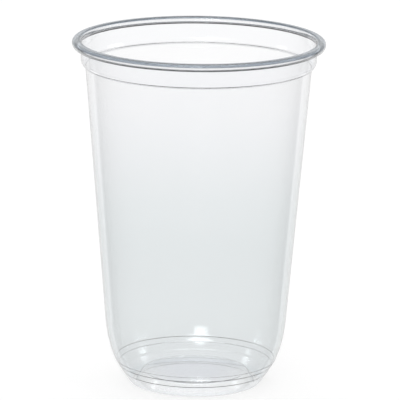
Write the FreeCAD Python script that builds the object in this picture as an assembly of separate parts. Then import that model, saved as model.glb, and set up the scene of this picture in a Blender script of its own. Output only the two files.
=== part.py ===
import FreeCAD, Part
import math
import os

# A clear disposable drinking cup of about 0.6 litre, one thin plastic shell.
# It stands upright on Z = 0 and its axis is the Z axis, so the origin is the
# middle of the ring it rests on. All lengths are in millimetres.
# Its outer face is followed from the middle of the base, out over the foot,
# up the side and round the rolled rim. The inner face runs one skin away, and
# the strip between them is turned about the axis.

# size of the whole cup
HEIGHT = 132.0          # table to the top of the rim
RIM_RADIUS = 47.5       # outermost reach of the rolled rim
SKIN = 0.35             # thickness of the formed sheet

# rolled rim
BEAD_DEPTH = 2.8        # height of the roll, top to underside
BEAD_TURN = 0.8         # inner radius of each turn of the roll
CURL_LENGTH = 2.0       # how far the roll is tucked back under

# collar below the rim, outside radii
COLLAR_RADIUS = 44.3    # under the roll
COLLAR_LOW_RADIUS = 44.2    # where it turns in towards the ledge
COLLAR_LOW = 124.0
COLLAR_ROUND = 1.5

# narrow ledge that a nested cup stops on, outside radii of its corners
LEDGE_RADIUS = 43.5
LEDGE_HEIGHT = 122.55
LEDGE_ROUND = 0.45
WALL_TOP_RADIUS = 42.5
WALL_TOP = 122.2
WALL_TOP_ROUND = 0.3

# tapered side wall, from the ledge down to here and on to the shoulder
WALL_LOW_RADIUS = 34.7
WALL_LOW = 30.0

# rounded shoulder that leads the wall in to the foot
SHOULDER_RADIUS = 45.0
SHOULDER_RISE = 57.0    # degrees, lean of its lowest part over the table

# three narrow forming steps round the shoulder, each its low edge, its high
# edge and how far out it goes
STEPS = ((4.5, 4.7, 0.2), (7.1, 7.3, 0.2), (9.0, 9.2, 0.25))

# foot ring
FOOT_RADIUS = 24.65     # outer corner of the flat ring
FOOT_ROUND = 2.8
FOOT_INNER_RADIUS = 22.2    # inner corner of the flat ring
FOOT_INNER_ROUND = 0.8

# raised panel inside the foot ring
PANEL_RADIUS = 19.8     # where the panel meets the slope up from the foot
PANEL_HEIGHT = 4.0
PANEL_ROUND = 1.0

os.makedirs("parts", exist_ok=True)


def unit(a, b):
    d = (b[0] - a[0], b[1] - a[1])
    n = math.hypot(d[0], d[1])
    return (d[0] / n, d[1] / n)


def cross(a, b):
    return a[0] * b[1] - a[1] * b[0]


def meet(p, u, q, v):
    """Where the line through p along u meets the line through q along v."""
    t = cross((q[0] - p[0], q[1] - p[1]), v) / cross(u, v)
    return (p[0] + u[0] * t, p[1] + u[1] * t)


def shifted(path, skin):
    """The same corners moved to the other face of the sheet."""
    points = [c[0] for c in path]
    out = []
    for i, (p, r) in enumerate(path):
        ahead = unit(p, points[i + 1]) if i + 1 < len(points) else None
        behind = unit(points[i - 1], p) if i else None
        if behind is None:
            n = (-ahead[1], ahead[0])
            out.append(((p[0] + n[0] * skin, p[1] + n[1] * skin), r))
        elif ahead is None:
            n = (-behind[1], behind[0])
            out.append(((p[0] + n[0] * skin, p[1] + n[1] * skin), r))
        else:
            a = (p[0] - behind[1] * skin, p[1] + behind[0] * skin)
            b = (p[0] - ahead[1] * skin, p[1] + ahead[0] * skin)
            left = cross(behind, ahead) > 0
            r2 = (r - skin if left else r + skin) if r else r
            out.append((meet(a, behind, b, ahead), r2))
    return out


def vec(p):
    return FreeCAD.Vector(p[0], 0, p[1])


def edges_of(path):
    """Straight runs joined by tangent arcs, as a list of edges."""
    made = []
    start = path[0][0]
    for i in range(1, len(path)):
        p, r = path[i]
        if r:
            u = unit(path[i - 1][0], p)
            v = unit(p, path[i + 1][0])
            turn = math.atan2(cross(u, v), u[0] * v[0] + u[1] * v[1])
            t = r * math.tan(abs(turn) / 2)
            a = (p[0] - u[0] * t, p[1] - u[1] * t)
            b = (p[0] + v[0] * t, p[1] + v[1] * t)
            side = 1 if turn > 0 else -1
            c = (a[0] - u[1] * r * side, a[1] + u[0] * r * side)
            w = unit(c, p)
            m = (c[0] + w[0] * r, c[1] + w[1] * r)
            made.append(Part.makeLine(vec(start), vec(a)))
            made.append(Part.Arc(vec(a), vec(m), vec(b)).toShape())
            start = b
        else:
            made.append(Part.makeLine(vec(start), vec(p)))
            start = p
    return made


# The side wall leans outward; below it, inside all the steps, runs the line
# that the shoulder arc is tangent to.
wall_way = unit((WALL_LOW_RADIUS, WALL_LOW), (WALL_TOP_RADIUS, WALL_TOP))
inward = (-wall_way[1], wall_way[0])
steps = sum(step[2] for step in STEPS)
drawn_in = (WALL_LOW_RADIUS + inward[0] * steps, WALL_LOW + inward[1] * steps)
rise = math.radians(SHOULDER_RISE)
rise_way = (math.cos(rise), math.sin(rise))
corner = meet((FOOT_RADIUS, 0), rise_way, drawn_in, wall_way)

# Centre of the shoulder arc, from its two tangents.
bend = math.atan2(cross(rise_way, wall_way),
                  rise_way[0] * wall_way[0] + rise_way[1] * wall_way[1])
reach = SHOULDER_RADIUS * math.tan(bend / 2)
low_end = (corner[0] - rise_way[0] * reach, corner[1] - rise_way[1] * reach)
centre = (low_end[0] - rise_way[1] * SHOULDER_RADIUS,
          low_end[1] + rise_way[0] * SHOULDER_RADIUS)

low_angle = rise - math.pi / 2
high_angle = math.atan2(-inward[1], -inward[0])


def on_shoulder(angle, radius):
    return (centre[0] + math.cos(angle) * radius,
            centre[1] + math.sin(angle) * radius)


def angle_at(height, radius):
    return math.asin((height - centre[1]) / radius)


def shoulder(depth):
    """Arcs and step slopes on the face that lies depth inside the outer one."""
    radius = SHOULDER_RADIUS
    begin = low_angle
    spans = []
    for low, high, out in STEPS:
        spans.append((radius, begin, angle_at(low, radius)))
        radius += out
        begin = angle_at(high, radius)
    spans.append((radius, begin, high_angle))
    made = []
    last = None
    for radius, a, b in spans:
        first, middle, end = [on_shoulder(t, radius - depth) for t in (a, (a + b) / 2, b)]
        if last:
            made.append(Part.makeLine(vec(last), vec(first)))
        made.append(Part.Arc(vec(first), vec(middle), vec(end)).toShape())
        last = end
    return made


# Corners of the outer face, from the axis to the shoulder and from the
# shoulder to the end of the roll, each with the radius it is rounded to.
low_path = [((0, PANEL_HEIGHT), 0), ((PANEL_RADIUS, PANEL_HEIGHT), PANEL_ROUND),
            ((FOOT_INNER_RADIUS, 0), FOOT_INNER_ROUND),
            ((FOOT_RADIUS, 0), FOOT_ROUND), (low_end, 0)]
wall_start = on_shoulder(high_angle, SHOULDER_RADIUS + steps)
high_path = [(wall_start, 0), ((WALL_TOP_RADIUS, WALL_TOP), WALL_TOP_ROUND),
             ((LEDGE_RADIUS, LEDGE_HEIGHT), LEDGE_ROUND),
             ((COLLAR_LOW_RADIUS, COLLAR_LOW), COLLAR_ROUND),
             ((COLLAR_RADIUS, HEIGHT - SKIN), BEAD_TURN),
             ((RIM_RADIUS - SKIN, HEIGHT - SKIN), BEAD_TURN),
             ((RIM_RADIUS - SKIN, HEIGHT - BEAD_DEPTH + SKIN), BEAD_TURN),
             ((RIM_RADIUS - SKIN - CURL_LENGTH, HEIGHT - BEAD_DEPTH + SKIN), 0)]

outer = edges_of(low_path) + shoulder(0) + edges_of(high_path)

low_inner = shifted(low_path, SKIN)
high_inner = shifted(high_path, SKIN)
inner = edges_of(low_inner) + shoulder(SKIN) + edges_of(high_inner)

bottom = Part.makeLine(vec((0, PANEL_HEIGHT)), vec((0, PANEL_HEIGHT + SKIN)))
lip = Part.makeLine(vec(high_path[-1][0]), vec(high_inner[-1][0]))
outline = Part.Wire(Part.__sortEdges__(outer + [lip] + inner + [bottom]))
section = Part.Face(outline)
cup = section.revolve(FreeCAD.Vector(0, 0, 0), FreeCAD.Vector(0, 0, 1), 360)

cup.exportStep("parts/cup.step")
print("cup valid", cup.isValid(), "volume in cubic mm", round(cup.Volume, 1))
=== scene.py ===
# %% [markdown]
# A clear plastic cup, modelled as the thin sheet that it is
#
# The real object is one piece of clear sheet, drawn down into a mould while
# it is hot. Its rim is rolled over afterwards, so the edge is stiff and does
# not cut a lip. Nothing else belongs to it. What makes it look real is not
# its parts but its section: a wall a third of a millimetre thick, a hollow
# roll at the top, a sloped ledge that stops one cup from sinking into the
# next, and a rounded foot with a raised panel. All of that shows through the
# clear wall at once, so this lesson spends its effort on an exact section
# and on what the plastic has around it to reflect.
#
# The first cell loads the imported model, which fixes the size and the place.

# %% Load the model that fixes the size and the place
import bmesh
import bpy
import math
from mathutils import Matrix, Vector


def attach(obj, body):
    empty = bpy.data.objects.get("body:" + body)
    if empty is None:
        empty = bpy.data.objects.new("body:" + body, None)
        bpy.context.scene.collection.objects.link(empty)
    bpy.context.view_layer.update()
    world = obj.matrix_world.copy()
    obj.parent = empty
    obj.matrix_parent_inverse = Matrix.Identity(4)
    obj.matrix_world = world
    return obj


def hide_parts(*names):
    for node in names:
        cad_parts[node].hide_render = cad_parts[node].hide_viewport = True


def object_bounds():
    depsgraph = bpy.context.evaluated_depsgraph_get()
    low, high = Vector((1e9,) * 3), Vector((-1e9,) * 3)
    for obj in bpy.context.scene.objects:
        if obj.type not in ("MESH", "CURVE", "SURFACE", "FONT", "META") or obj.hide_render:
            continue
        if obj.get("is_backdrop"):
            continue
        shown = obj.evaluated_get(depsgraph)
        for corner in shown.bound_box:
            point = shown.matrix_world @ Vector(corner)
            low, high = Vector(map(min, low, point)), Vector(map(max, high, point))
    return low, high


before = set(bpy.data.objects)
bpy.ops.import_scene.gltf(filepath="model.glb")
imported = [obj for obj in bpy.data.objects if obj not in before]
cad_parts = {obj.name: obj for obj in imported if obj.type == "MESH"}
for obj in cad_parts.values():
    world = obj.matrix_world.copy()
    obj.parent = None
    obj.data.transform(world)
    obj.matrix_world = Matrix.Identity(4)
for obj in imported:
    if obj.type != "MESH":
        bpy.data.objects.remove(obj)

MM = 0.001
bpy.ops.object.select_all(action="DESELECT")
cad_low, cad_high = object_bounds()
print("model box in mm", [round(v / MM, 2) for v in (*cad_low, *cad_high)])

# %% [markdown]
# The camera
#
# The photograph looks down on the cup a little: the mouth is a flat ellipse
# and the foot a rounder one. How much rounder tells how far away the camera
# stood, because a near camera sees the foot from more above than the rim.
# A long lens at 1.7 metres, between 13 and 14 degrees above the level, gives
# both ellipses and the narrowing of the wall. The picture leans by less than
# a degree, and the camera is rolled by that much, so that edges fall where
# they fall in the photograph.

# %% Camera
PICTURE = 400                           # pixels across and down
DISTANCE = 1700 * MM
LOOK_DOWN = math.radians(13.57)
ROLL = math.radians(0.69)
PIXELS_PER_RADIAN = 4508                # focal length, in picture pixels
AIM = Vector((1.1 * MM, 0, 70.35 * MM))     # what the middle of the picture shows
PIVOT_HEIGHT = 65 * MM                  # the distance is measured to here
SENSOR = 36                             # millimetres
SEEN_FROM = 0.05                        # nearer things are left out, in metres
SEEN_TO = 50                            # and farther ones too

place = Vector((0, -DISTANCE * math.cos(LOOK_DOWN), PIVOT_HEIGHT + DISTANCE * math.sin(LOOK_DOWN)))
bpy.ops.object.camera_add(location=place)
camera = bpy.context.object
camera.name = "camera"
camera.data.sensor_width = SENSOR
camera.data.lens = PIXELS_PER_RADIAN * SENSOR / PICTURE
camera.data.clip_start = SEEN_FROM
camera.data.clip_end = SEEN_TO
aimed = (AIM - place).to_track_quat("-Z", "Y").to_matrix()
camera.rotation_euler = (aimed @ Matrix.Rotation(ROLL, 3, "Z")).to_euler()
bpy.context.scene.camera = camera
print("camera at", [round(v, 3) for v in place], "lens", round(camera.data.lens, 1))

# %% [markdown]
# The section
#
# A cup is round, so its whole form is in one half section. It could be drawn
# as a curve and turned by a modifier, or as a cylinder that is scaled ring
# by ring. Here one vertex is extruded along the outer face, from the middle
# of the base to the end of the roll, and each bend is a spin of that vertex
# about the centre of the bend. That gives true arcs that meet the straight
# runs without a kink, and a kink would show as a line in a clear wall.
#
# The corners below are where the straight runs would meet if nothing was
# rounded. Each has its distance from the axis, its height and the radius of
# its bend. The height and the width of the whole cup come from the model.

# %% Sizes of the section, in millimetres
HEIGHT = round(cad_high[2] / MM, 3)
RIM_RADIUS = round(cad_high[0] / MM, 3)
SKIN = 0.35                             # thickness of the sheet

ROLL_DEPTH = 2.8
ROLL_TURN = 0.8
ROLL_TUCK = 2.0                         # how far the free end runs back under the roll

COLLAR_TOP = 44.3                       # radius under the roll
COLLAR_LOW = 44.2                       # radius where the collar turns in
COLLAR_LOW_HEIGHT = 124.0
COLLAR_ROUND = 1.5
LEDGE_OUT = 43.5                        # outer corner of the ledge
LEDGE_OUT_HEIGHT = 122.55
LEDGE_OUT_ROUND = 0.45
WALL_TOP = 42.5                         # inner corner of the ledge
WALL_TOP_HEIGHT = 122.2
WALL_TOP_ROUND = 0.3
WALL_LOW = 34.7
WALL_LOW_HEIGHT = 30.0

SHOULDER_RADIUS = 45.0
SHOULDER_RISE = math.radians(57.0)      # slope of the sheet where it leaves the foot
STEPS = ((4.5, 4.7, 0.2), (7.1, 7.3, 0.2), (9.0, 9.2, 0.25))     # low edge, high edge, depth

FOOT_OUT = 24.65
FOOT_ROUND = 2.8
FOOT_IN = 22.2
FOOT_IN_ROUND = 0.8
PANEL_RADIUS = 19.8
PANEL_HEIGHT = 4.0
PANEL_ROUND = 1.0
print("cup of", HEIGHT, "by", 2 * RIM_RADIUS, "mm in a sheet of", SKIN, "mm")

# %% [markdown]
# A pen made of one vertex
#
# When the one selected vertex is extruded, it leaves an edge behind and the
# selection moves to the new end. So it works as a pen. A straight run is one
# move of the pen, and a bend is a spin of it about a line along Y, because
# the section stands upright in the plane of X and Z. The start, the centre
# and the angle of a bend all follow from its radius and from the two runs
# that meet there, so no point of a bend has to be typed.

# %% Helpers that draw the section with one vertex
ARC_STEP = math.radians(7)
FEWEST_STEPS = 3                        # even a short bend gets these


def way(a, b):
    """The direction from a to b, for points given as (across, up)."""
    return (Vector(b) - Vector(a)).normalized()


def crossing(p, u, q, v):
    """Where the line through p along u meets the line through q along v."""
    gap = Vector(q) - Vector(p)
    return Vector(p) + u * (gap.cross(v) / u.cross(v))


def pen():
    """Where the drawing vertex is now."""
    mesh = bmesh.from_edit_mesh(bpy.context.object.data)
    tip = next(v for v in mesh.verts if v.select)
    return Vector((tip.co.x, tip.co.z))


def run_to(point):
    """A straight run from the pen to a point, in metres."""
    move = Vector(point) - pen()
    bpy.ops.mesh.extrude_vertices_move(TRANSFORM_OT_translate={"value": (move.x, 0, move.y)})


def bend_about(centre, angle):
    """An arc of the pen about a centre; a left turn has a positive angle."""
    steps = max(FEWEST_STEPS, math.ceil(abs(angle) / ARC_STEP))
    bpy.ops.mesh.spin(steps=steps, angle=angle, center=(centre[0], 0, centre[1]), axis=(0, 1, 0))


def round_corner(before, corner, after, radius):
    """A run up to the bend at a corner, and the bend itself."""
    u, v = way(before, corner), way(corner, after)
    turn = math.atan2(u.cross(v), u.dot(v))
    start = Vector(corner) - u * (radius * math.tan(abs(turn) / 2))
    side = math.copysign(1, turn)
    run_to(start)
    bend_about(start + Vector((-u.y, u.x)) * radius * side, turn)


def draw(corners):
    """Runs and bends along corners of (across, up, radius), in millimetres."""
    points = [Vector(corner[:2]) * MM for corner in corners]
    for i in range(1, len(corners) - 1):
        round_corner(points[i - 1], points[i], points[i + 1], corners[i][2] * MM)
    run_to(points[-1])


# %% [markdown]
# The shoulder
#
# One large arc joins the tapered wall to the rise from the foot. Three fine
# steps from the mould run round it, and at each of them the sheet moves out
# by about a fifth of a millimetre. They could be cut in afterwards, but then
# the arc would no longer meet the wall smoothly. So the arc starts tangent
# to the rise and to a wall that is drawn in by all three steps together, and
# its radius grows at each step, until it is tangent to the real wall.

# %% Work out the shoulder arc
wall_way = way((WALL_LOW, WALL_LOW_HEIGHT), (WALL_TOP, WALL_TOP_HEIGHT))
inward = Vector((-wall_way.y, wall_way.x))
step_depth = sum(depth for low, high, depth in STEPS)
rise_way = Vector((math.cos(SHOULDER_RISE), math.sin(SHOULDER_RISE)))
drawn_in = Vector((WALL_LOW, WALL_LOW_HEIGHT)) + inward * step_depth
knee = crossing((FOOT_OUT, 0), rise_way, drawn_in, wall_way)
knee_turn = math.atan2(rise_way.cross(wall_way), rise_way.dot(wall_way))
shoulder_start = knee - rise_way * SHOULDER_RADIUS * math.tan(knee_turn / 2)
shoulder_centre = shoulder_start + Vector((-rise_way.y, rise_way.x)) * SHOULDER_RADIUS
shoulder_end_angle = math.atan2(-inward.y, -inward.x)
print("shoulder starts at", [round(v, 2) for v in shoulder_start],
      "and bends", round(math.degrees(knee_turn), 1), "degrees")


def shoulder_point(angle, radius):
    """The point of the shoulder at an angle above the level, in millimetres."""
    return shoulder_centre + Vector((math.cos(angle), math.sin(angle))) * radius


def angle_at(height, radius):
    """The angle at which the shoulder reaches a height."""
    return math.asin((height - shoulder_centre.y) / radius)


# %% [markdown]
# Drawing the outer face
#
# A small square that is merged to its centre leaves the one vertex to start
# with, in the middle of the raised panel. The line then runs down and round
# the foot ring, up the shoulder and the wall, out over the ledge, up the
# collar and round the inside of the roll. It stops under the roll, because
# the edge of the real sheet is free there too.

# %% Draw the outer face from the middle of the base to the end of the roll
roll_top = HEIGHT - SKIN
roll_side = RIM_RADIUS - SKIN
roll_bottom = HEIGHT - ROLL_DEPTH + SKIN

bpy.ops.mesh.primitive_plane_add(size=MM, location=(0, 0, PANEL_HEIGHT * MM))
cup = bpy.context.object
cup.name = "clear_cup"
bpy.ops.object.transform_apply(location=True)
bpy.ops.object.mode_set(mode="EDIT")
bpy.ops.mesh.select_all(action="SELECT")
bpy.ops.mesh.merge(type="CENTER")

draw([(0, PANEL_HEIGHT, 0),
      (PANEL_RADIUS, PANEL_HEIGHT, PANEL_ROUND),
      (FOOT_IN, 0, FOOT_IN_ROUND),
      (FOOT_OUT, 0, FOOT_ROUND),
      (*shoulder_start, 0)])

radius = SHOULDER_RADIUS
angle = SHOULDER_RISE - math.pi / 2
for low, high, depth in STEPS:
    bend_about(shoulder_centre * MM, angle_at(low, radius) - angle)
    radius += depth
    angle = angle_at(high, radius)
    run_to(shoulder_point(angle, radius) * MM)
bend_about(shoulder_centre * MM, shoulder_end_angle - angle)

draw([(*shoulder_point(shoulder_end_angle, radius), 0),
      (WALL_TOP, WALL_TOP_HEIGHT, WALL_TOP_ROUND),
      (LEDGE_OUT, LEDGE_OUT_HEIGHT, LEDGE_OUT_ROUND),
      (COLLAR_LOW, COLLAR_LOW_HEIGHT, COLLAR_ROUND),
      (COLLAR_TOP, roll_top, ROLL_TURN),
      (roll_side, roll_top, ROLL_TURN),
      (roll_side, roll_bottom, ROLL_TURN),
      (roll_side - ROLL_TUCK, roll_bottom, 0)])
section = bmesh.from_edit_mesh(cup.data)
top = max(v.co.z for v in section.verts)
print("section has", len(section.verts), "points, the highest at", round(top / MM, 2))

# %% [markdown]
# From section to shell
#
# The section is turned once round the axis. The seam and the pole are closed
# by merging doubles, and the normals are made to point out of the cup before
# the sheet gets its thickness, because on a closed shell a later call would
# turn the inner wall round. Solidify then moves the inner face one skin in,
# evenly, as a real sheet has it.

# %% Turn the section and give it its thickness
AROUND = 224                            # faces in one turn
MERGED_WITHIN = 0.001 * MM
PLAIN_WALL = (60 * MM, 100 * MM)        # the faces here tell which way is out
SMOOTH_UP_TO = math.radians(30)

bpy.ops.mesh.select_all(action="SELECT")
bpy.ops.mesh.spin(steps=AROUND, angle=math.tau, center=(0, 0, 0), axis=(0, 0, 1))
bpy.ops.mesh.select_all(action="SELECT")
bpy.ops.mesh.remove_doubles(threshold=MERGED_WITHIN)
bpy.ops.mesh.normals_make_consistent(inside=False)
skin = bmesh.from_edit_mesh(cup.data)
wall_faces = [f for f in skin.faces if PLAIN_WALL[0] < f.calc_center_median().z < PLAIN_WALL[1]]
outward = sum(f.normal.dot(f.calc_center_median().normalized()) for f in wall_faces)
if outward < 0:
    bpy.ops.mesh.flip_normals()
bpy.ops.object.mode_set(mode="OBJECT")

bpy.ops.object.modifier_add(type="SOLIDIFY")
thicken = cup.modifiers[-1]
thicken.thickness = SKIN * MM
thicken.offset = -1
thicken.use_even_offset = True
bpy.ops.object.modifier_apply(modifier=thicken.name)
bpy.ops.object.shade_smooth_by_angle(angle=SMOOTH_UP_TO)
print("cup has", len(cup.data.polygons), "faces; box in mm", [round(v / MM, 2) for v in cup.dimensions])

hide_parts("cup")
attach(cup, "root")

# %% [markdown]
# Clear sheet
#
# Clear polyester bends light more than window glass does, so its reflections
# are a little stronger. A Principled surface with full transmission does the
# bending, and the two faces of the real thickness do the rest. Rough plastic
# would blur what is behind the cup, and this sheet does not, so its roughness
# is nought.
#
# The sheet, the world and the floor each have a tree of nodes. The helpers
# make the few kinds of node that come back in all three, so that each tree
# reads like a short sum.

# %% Helpers for node trees
def tree_of(owner):
    """The nodes and links of a material or a world."""
    owner.use_nodes = True
    return owner.node_tree.nodes, owner.node_tree.links


def sums(operation, a, b=0):
    """A Math node on sockets or numbers, in the tree that is being made."""
    node = nodes.new("ShaderNodeMath")
    node.operation = operation
    for socket, value in zip(node.inputs, (a, b)):
        if isinstance(value, (int, float)):
            socket.default_value = value
        else:
            links.new(value, socket)
    return node.outputs[0]


def ease(value, low, high, at_low, at_high):
    """A smooth step of a socket from one value to another."""
    node = nodes.new("ShaderNodeMapRange")
    node.interpolation_type = "SMOOTHSTEP"
    names = ("From Min", "From Max", "To Min", "To Max")
    for name, number in zip(names, (low, high, at_low, at_high)):
        node.inputs[name].default_value = number
    links.new(value, node.inputs["Value"])
    return node.outputs["Result"]


def ramp(value, low, high, tints):
    """Colours along a socket in metres, for tints and painted shade given as (millimetres, colour)."""
    span = nodes.new("ShaderNodeMapRange")
    span.inputs["From Min"].default_value = low * MM
    span.inputs["From Max"].default_value = high * MM
    links.new(value, span.inputs["Value"])
    made = nodes.new("ShaderNodeValToRGB")
    stops = made.color_ramp.elements
    while len(stops) < len(tints):
        stops.new(1)
    for stop, (spot, colour) in zip(stops, tints):
        stop.position = (spot - low) / (high - low)
    for stop, (spot, colour) in zip(stops, tints):
        stop.color = (*colour, 1)
    links.new(span.outputs["Result"], made.inputs["Fac"])
    return made.outputs["Color"]


def blend(part, a, b, kind="MIX"):
    """Colour a where part is 0 and colour b where it is 1."""
    node = nodes.new("ShaderNodeMix")
    node.data_type = "RGBA"
    node.blend_type = kind
    links.new(part, node.inputs["Factor"])
    links.new(a, node.inputs["A"])
    links.new(b, node.inputs["B"])
    return node.outputs["Result"]


def mix_light(part, a, b):
    """Shader a where part is 0 and shader b where it is 1."""
    node = nodes.new("ShaderNodeMixShader")
    links.new(part, node.inputs["Fac"])
    links.new(a.outputs[0], node.inputs[1])
    links.new(b.outputs[0], node.inputs[2])
    return node


def add_light(a, b):
    """The light of two shaders together."""
    node = nodes.new("ShaderNodeAddShader")
    links.new(a.outputs[0], node.inputs[0])
    links.new(b.outputs[0], node.inputs[1])
    return node


# %% [markdown]
# Tints and painted shade of the sheet
#
# The sheet is not quite colourless: a stack of such cups looks grey-green. The colour also darkens from
# the ledge down to the foot, and that darkening is painted shade. The raised panel has a bluer grey,
# which is painted shade as well. The forming steps and the ledge are slopes only a few tenths of a
# millimetre wide that turn light aside. A painted grey line of shade along the ledge and along the two
# upper steps shows that at any size of picture. The lowest step hardly shows and keeps the colour of
# the foot.
#
# The top of the roll is painted a dark blue-grey, which is painted shade. Its lip underneath is painted
# as the darkest line on the whole cup, a line of painted shade.

# %% Tints and painted shade, each with its place in millimetres
FADE = 0.15                             # what a narrow line takes to fade out
CLEAR = (1.0, 1.0, 1.0)
TOP_CLEAR = (0.992, 0.994, 1.0)
COLLAR_CLEAR = (0.98, 0.985, 0.998)
# The darker greys low on the wall are painted shade as well as the sheet's own grey-green.
LOW_TINT_AND_SHADE = (0.905, 0.926, 0.931)
FOOT_TINT_AND_SHADE = (0.9, 0.918, 0.928)
FOOT_RING_SHADE = (0.9, 0.93, 0.95)
# The step and ledge greys are painted lines of shade.
STEP_SHADE_GREYS = (FOOT_TINT_AND_SHADE, (0.87, 0.885, 0.9), (0.89, 0.905, 0.915))   # from the lowest
LEDGE_SHADE_GREY = (0.2, 0.22, 0.25)
# Painted shade of the roll: a dark grey on top and a black lip beneath.
TOP_SHADE_GREY = (0.35, 0.4, 0.45)
LIP_SHADE_BLACK = (0.03, 0.035, 0.04)


def line(low, high, colour, below, above):
    """The stops of a narrow painted line of shade that fades into the colours beside it."""
    return [(low - FADE, below), (low, colour), (high, colour), (high + FADE, above)]


# The wall ramp: the sheet's grey-green, darkened toward the foot by painted shade.
WALL_TINT_AND_SHADE = [(3.4, (0.93, 0.945, 0.96))]   # by height, outside the foot
# Each step gets a painted line of shade.
for (low, high, depth), grey in zip(STEPS, STEP_SHADE_GREYS):
    WALL_TINT_AND_SHADE += line(low, high, grey, FOOT_TINT_AND_SHADE, FOOT_TINT_AND_SHADE)
WALL_TINT_AND_SHADE += [(12, LOW_TINT_AND_SHADE),
               (30, LOW_TINT_AND_SHADE),
               (45, (0.9, 0.92, 0.926)),
               (62, (0.907, 0.929, 0.934)),
               (86, (0.948, 0.958, 0.966)),
               (104, (0.982, 0.987, 0.996)),
               (112, TOP_CLEAR)]
# A painted line of shade along the ledge.
WALL_TINT_AND_SHADE += line(122.3, 122.5, LEDGE_SHADE_GREY, TOP_CLEAR, COLLAR_CLEAR)
WALL_TINT_AND_SHADE += [(131.45, COLLAR_CLEAR), (131.6, TOP_SHADE_GREY)]

# Painted shade: the raised panel is a bluer grey and the foot ring a darker one.
BASE_PAINTED_SHADE = [(8, (0.945, 0.948, 0.99)),    # by distance from the axis
              (18.5, (0.98, 0.985, 1.0)),
              (20.5, CLEAR),
              (23.9, CLEAR),
              (24.3, FOOT_RING_SHADE),
              (25.0, FOOT_RING_SHADE)]

# The roll ramp paints shade: a black lip and a dark blue-grey top.
ROLL_PAINTED_SHADE = [(129.1, CLEAR),           # by height, outside the collar
              (129.2, LIP_SHADE_BLACK),
              (129.5, LIP_SHADE_BLACK),
              (129.65, CLEAR),
              (130.75, CLEAR),
              (130.9, (0.36, 0.4, 0.45)),
              (131.5, (0.42, 0.47, 0.52)),
              (131.9, (0.46, 0.51, 0.56))]
# A painted line of shade along the inner edge of the roll.
INNER_SHADE_LINE = [(45.05, TOP_SHADE_GREY),        # by distance from the axis, on the roll
              (45.3, CLEAR)]
print("tints on wall, base and roll:", len(WALL_TINT_AND_SHADE), len(BASE_PAINTED_SHADE), len(ROLL_PAINTED_SHADE))

# %% [markdown]
# Painting the tints and the shade
#
# An image on an unwrapped cup would need a very fine grain for lines of a fifth of a millimetre. Colour
# ramps have no grain. One ramp follows the height and paints the wall, its grey-green and its painted
# shade. One follows the distance from the axis and paints the painted shade of the base, and a third
# paints the painted shade of the roll. Two soft masks choose between them. A fourth ramp paints a line
# of shade along the inner edge of the roll. All of them read Object coordinates, so the bands stay on
# the cup wherever it stands.

# %% Material of the sheet
PLASTIC_BEND = 1.575                    # index of refraction
BASE_REACH = 25.6                       # the base is inside this radius
BASE_BLUR = 0.7
BASE_SPAN = (0, 30)                     # ends of the ramps, in millimetres
ROLL_START = 44.6                       # the roll is outside this radius
ROLL_BLUR = 0.1
ROLL_SPAN = (128, HEIGHT)
INNER_SPAN = (44, 48)

plastic = bpy.data.materials.new("clear_polyester")
nodes, links = tree_of(plastic)
surface = nodes["Principled BSDF"]
surface.inputs["Transmission Weight"].default_value = 1
surface.inputs["Roughness"].default_value = 0
surface.inputs["IOR"].default_value = PLASTIC_BEND

where = nodes.new("ShaderNodeTexCoord")
split = nodes.new("ShaderNodeSeparateXYZ")
links.new(where.outputs["Object"], split.inputs["Vector"])
height = split.outputs["Z"]
across = sums("POWER", split.outputs["X"], 2)
along = sums("POWER", split.outputs["Y"], 2)
from_axis = sums("SQRT", sums("ADD", across, along))

# This ramp paints the wall's grey-green and the painted shade that darkens it toward the foot.
wall_tint_and_shade = ramp(height, 0, HEIGHT, WALL_TINT_AND_SHADE)
# This ramp paints the shade of the base by distance from the axis.
base_painted_shade = ramp(from_axis, *BASE_SPAN, BASE_PAINTED_SHADE)
# These two ramps paint the shade of the roll and the line of shade at its inner edge.
roll_painted_shade = ramp(height, *ROLL_SPAN, ROLL_PAINTED_SHADE)
inner_shade_line = ramp(from_axis, *INNER_SPAN, INNER_SHADE_LINE)
on_base = ease(from_axis, (BASE_REACH - BASE_BLUR) * MM, (BASE_REACH + BASE_BLUR) * MM, 1, 0)
on_roll = ease(from_axis, (ROLL_START - ROLL_BLUR) * MM, (ROLL_START + ROLL_BLUR) * MM, 0, 1)
# The blend carries the sheet's grey-green and all of the painted shade.
sheet_tint_and_shade = blend(on_roll, blend(on_base, wall_tint_and_shade, base_painted_shade), roll_painted_shade)
links.new(blend(on_roll, sheet_tint_and_shade, inner_shade_line, "MULTIPLY"), surface.inputs["Base Color"])
cup.data.materials.clear()
cup.data.materials.append(plastic)
print("material", plastic.name, "bends light", PLASTIC_BEND)

# %% [markdown]
# The studio
#
# Clear things have no colour of their own to light. They show what is
# straight behind them, and along their edges they show what is beside them.
# A photographer therefore puts a white backdrop behind a cup and keeps the
# rest of the room dim: the wall stays bright, and the rim and the edges draw
# themselves in grey. Walls and a backdrop of mesh could do it, but a world
# that is painted by direction needs none, and what it shows stays in place
# when the cup is moved a little.

# %% World: a bright backdrop in a dim room
BACKDROP_HALF_WIDTH = math.radians(44)
BACKDROP_SOFTNESS = 0.03                # how far its edges fade, in the cosine of the azimuth
BACKDROP_LIGHT = 0.9
ROOM_LIGHT = 0.5

world = bpy.data.worlds.new("studio")
bpy.context.scene.world = world
nodes, links = tree_of(world)
nodes.clear()

where = nodes.new("ShaderNodeTexCoord")
whole = nodes.new("ShaderNodeSeparateXYZ")
links.new(where.outputs["Generated"], whole.inputs["Vector"])
azimuth = sums("ARCTAN2", whole.outputs["X"], sums("MULTIPLY", whole.outputs["Y"], -1))
elevation = sums("ARCSINE", whole.outputs["Z"])

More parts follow.
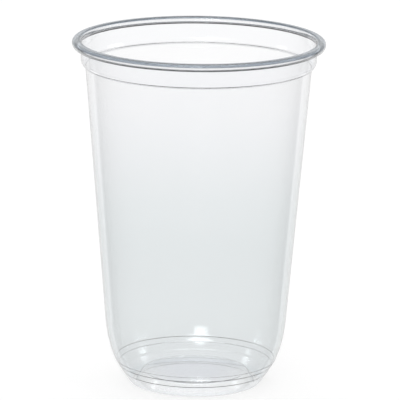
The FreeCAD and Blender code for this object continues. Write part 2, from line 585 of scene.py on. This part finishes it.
edge = math.cos(BACKDROP_HALF_WIDTH)
behind = sums("MULTIPLY", sums("COSINE", azimuth), -1)
light = ease(behind, edge - BACKDROP_SOFTNESS, edge + BACKDROP_SOFTNESS, ROOM_LIGHT, BACKDROP_LIGHT)
print("backdrop", round(2 * math.degrees(BACKDROP_HALF_WIDTH)), "degrees wide")

# %% [markdown]
# Softboxes
#
# The bright marks low in the cup are softboxes mirrored by the shoulder of
# the far wall, which is hollow like a shaving mirror and squeezes them into
# a small stack. Four of them stand in front, one above the other, and make
# the large mark. One at each side makes the small marks. They could be
# glowing planes, but as soft patches of the world they are set by azimuth
# and elevation alone. Azimuth 0 is where the camera stands, and the right
# side is positive.

# %% Softboxes by direction, in degrees
FLAT_SHARE = 0.2                        # how much of the width is evenly bright
SOFTBOXES = ((-8, 22.7, 14, 3.3, 6.0),  # azimuth, elevation, half width, half height, light
             (-14, 26, 34, 2.5, 11.0),
             (-8, 35, 28, 2.6, 8.0),
             (-7, 38, 12, 4, 7.0),
             (98, 26, 14, 8, 2.6),
             (-98, 28, 9, 8, 2.6))

for *middle, half_width, half_height, strength in SOFTBOXES:
    sideways, upward = (math.radians(part) for part in middle)
    wide, tall = math.radians(half_width), math.radians(half_height)
    aside = sums("ABSOLUTE", sums("SUBTRACT", azimuth, sideways))
    above = sums("ABSOLUTE", sums("SUBTRACT", elevation, upward))
    in_width = ease(aside, FLAT_SHARE * wide, wide, strength, 0)
    patch = sums("MULTIPLY", in_width, ease(above, 0, tall, 1, 0))
    light = sums("ADD", light, patch)
print(len(SOFTBOXES), "softboxes in the world")

# %% [markdown]
# White behind the cup
#
# What the camera sees past the cup or straight through it is plain white,
# as in the photograph. The rays tell this by themselves: a ray that has not
# been mirrored, and that comes from the camera or out of the plastic, sees
# white. Only light that the roll bends upward meets the dim ceiling, which
# draws the roll darker.

# %% White for what is seen past or through the cup
NEVER_MIRRORED = 0.5                    # below this, the count of mirrored bounces is nought
BENT_UP = 0.25                          # a ray that points up more than this sees no white
WHITE = (1, 1, 1, 1)

light_path = nodes.new("ShaderNodeLightPath")
straight = sums("LESS_THAN", light_path.outputs["Glossy Depth"], NEVER_MIRRORED)
through = sums("MULTIPLY", straight, light_path.outputs["Is Transmission Ray"])
through = sums("MULTIPLY", through, ease(whole.outputs["Z"], 0, BENT_UP, 1, 0))
seen = sums("MAXIMUM", through, light_path.outputs["Is Camera Ray"])

room = nodes.new("ShaderNodeBackground")
room.inputs["Color"].default_value = WHITE
links.new(light, room.inputs["Strength"])
white = nodes.new("ShaderNodeBackground")
white.inputs["Color"].default_value = WHITE
out = nodes.new("ShaderNodeOutputWorld")
links.new(mix_light(seen, room, white).outputs[0], out.inputs["Surface"])
print("world", world.name, "has", len(nodes), "nodes")

# %% [markdown]
# The floor
#
# The cup stands on white paper that is lit as brightly as the backdrop, so that no horizon shows behind
# it or through it. Most of the paper's light is its own glow. The rest is a dark grey that the lamp
# lights, and that part keeps a pale shadow round the foot. Light that the plastic has mirrored meets
# the dim room instead of the paper, except for a narrow band in front of the foot. There the paper
# glows though no lamp lights it, and that glow, mirrored in the plastic, brightens the underside of the
# shoulder.

# %% Floor
FLOOR_REACH = 6                         # metres from the cup to each side

bpy.ops.mesh.primitive_plane_add(size=2 * FLOOR_REACH, location=(0, 0, 0))
floor = bpy.context.object
floor.name = "floor"
floor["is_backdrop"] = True
print("floor", floor.name, "is", 2 * FLOOR_REACH, "metres wide")

# %% [markdown]
# The paper
#
# An emission and a grey diffuse surface are added up for the paper that is
# seen directly or through the cup. For mirrored light the paper turns clear,
# so that this light goes on into the world below it, and only the narrow
# band glows.

# %% Material of the paper
PAPER_GLOW = 0.8
PAPER_GREY = 0.25
# A band of the paper glows though no lamp lights it, and only mirrored light sees it.
BAND = (24.5, 26, 30, 36)               # radii where it starts, is full, fades and ends
BAND_FRONT = (-23, -14)                 # it is full before the first and gone behind the second
BAND_GLOW = 0.75

paper = bpy.data.materials.new("white_floor")
nodes, links = tree_of(paper)
nodes.clear()
where = nodes.new("ShaderNodeTexCoord")
reach = nodes.new("ShaderNodeVectorMath")
reach.operation = "LENGTH"
links.new(where.outputs["Object"], reach.inputs[0])
spot = nodes.new("ShaderNodeSeparateXYZ")
links.new(where.outputs["Object"], spot.inputs["Vector"])

starts, full, fades, ends = (radius * MM for radius in BAND)
inside = ease(reach.outputs["Value"], starts, full, 0, 1)
outside = ease(reach.outputs["Value"], fades, ends, 1, 0)
in_front = ease(spot.outputs["Y"], *(place * MM for place in BAND_FRONT), BAND_GLOW, 0)
band_glow = sums("MULTIPLY", sums("MULTIPLY", inside, outside), in_front)

band = nodes.new("ShaderNodeEmission")
links.new(band_glow, band.inputs["Strength"])
mirrored = add_light(band, nodes.new("ShaderNodeBsdfTransparent"))
glow = nodes.new("ShaderNodeEmission")
glow.inputs["Strength"].default_value = PAPER_GLOW
matt = nodes.new("ShaderNodeBsdfDiffuse")
matt.inputs["Color"].default_value = (PAPER_GREY, PAPER_GREY, PAPER_GREY, 1)
direct = add_light(glow, matt)

light_path = nodes.new("ShaderNodeLightPath")
straight = sums("LESS_THAN", light_path.outputs["Glossy Depth"], NEVER_MIRRORED)
out = nodes.new("ShaderNodeOutputMaterial")
links.new(mix_light(straight, mirrored, direct).outputs[0], out.inputs["Surface"])
floor.data.materials.append(paper)
print("material", paper.name, "has", len(nodes), "nodes")

# %% [markdown]
# A lamp for the shadow
#
# The softboxes above are only seen in reflections. The floor still needs
# light from somewhere to keep the cup's soft shadow, and one large lamp
# straight above gives it. It is too wide to leave a mark on the plastic.

# %% Lamp
LAMP_HEIGHT = 1.6                       # metres
LAMP_SIDE = 1.2
LAMP_WATTS = 8

bpy.ops.object.light_add(type="AREA", location=(0, 0, LAMP_HEIGHT))
lamp = bpy.context.object
lamp.name = "overhead_lamp"
lamp.data.shape = "SQUARE"
lamp.data.size = LAMP_SIDE
lamp.data.energy = LAMP_WATTS
print("lamp of", LAMP_WATTS, "watts at", LAMP_HEIGHT, "metres")

# %% [markdown]
# The last cell sets the view transform to Standard and prints the box of the dressed cup, to be set
# beside the box of the model that the first cell prints.

# %% Print the dressed box and finish
bpy.context.scene.view_settings.view_transform = "Standard"
low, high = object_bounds()
print("dressed box in mm", [round(v / MM, 2) for v in (*low, *high)])
